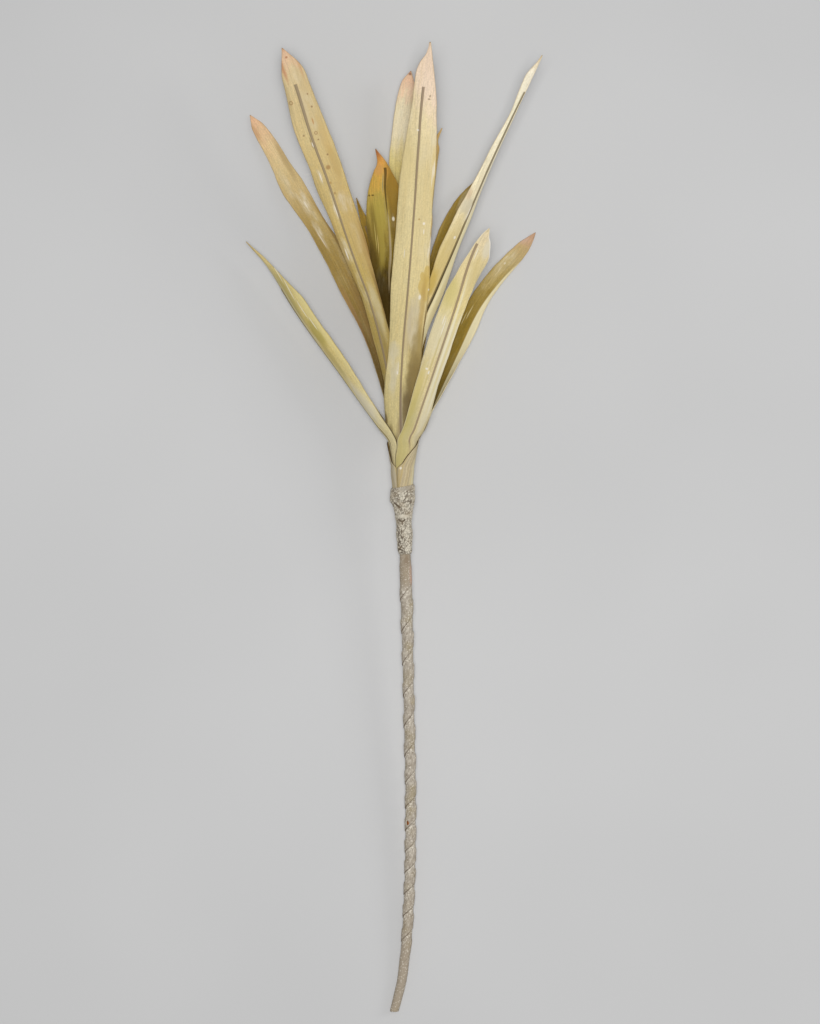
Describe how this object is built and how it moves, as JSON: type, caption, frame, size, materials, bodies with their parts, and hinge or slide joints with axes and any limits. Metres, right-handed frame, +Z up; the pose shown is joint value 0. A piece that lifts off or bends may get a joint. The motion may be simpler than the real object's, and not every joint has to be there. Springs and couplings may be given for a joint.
{
  "type": "dried pineapple leaf stem",
  "caption": "Dried pineapple leaf stem lying on its back: a fan of long straw-coloured leaves in one sheath, a rough bound neck and a long slender stem wound with tape.",
  "frame": {"origin": "centre of the bottom face of the whole object's box, on the surface that the stem lies on", "axes": "+Y along the stem towards the leaf tips, +Z up from the surface to the side that faces the viewer, +X to the right seen from above with the tips away"},
  "size_m": [0.2958, 0.9631, 0.1334],
  "materials": {
    "leaf_straw": "dry fibrous leaf, matt, straw yellow with pink-tan tips",
    "leaf_olive": "dry fibrous leaf, matt, olive brown",
    "leaf_sheath": "dry fibrous sheath, matt, pale tan",
    "stem_core": "bare dry stem, orange brown",
    "stem_tape": "rough paper tape, matt, grey brown",
    "neck_fibre": "coarse pressed fibre, matt, cream and grey"
  },
  "bodies": {
    "root": {"leaf_front_centre": "leaf_straw", "leaf_front_left": "leaf_straw", "leaf_front_right": "leaf_straw", "leaf_lower_front_right": "leaf_straw", "leaf_left_narrow": "leaf_straw", "leaf_back_centre": "leaf_straw", "leaf_inner_right": "leaf_straw", "leaf_inner_front": "leaf_olive", "leaf_back_left": "leaf_olive", "leaf_inner_left": "leaf_olive", "leaf_back_right": "leaf_olive", "leaf_sheath_right": "leaf_sheath", "stem_rod": "stem_core", "stem_wrap": "stem_tape", "neck_binding": "neck_fibre"}
  },
  "joints": []
}
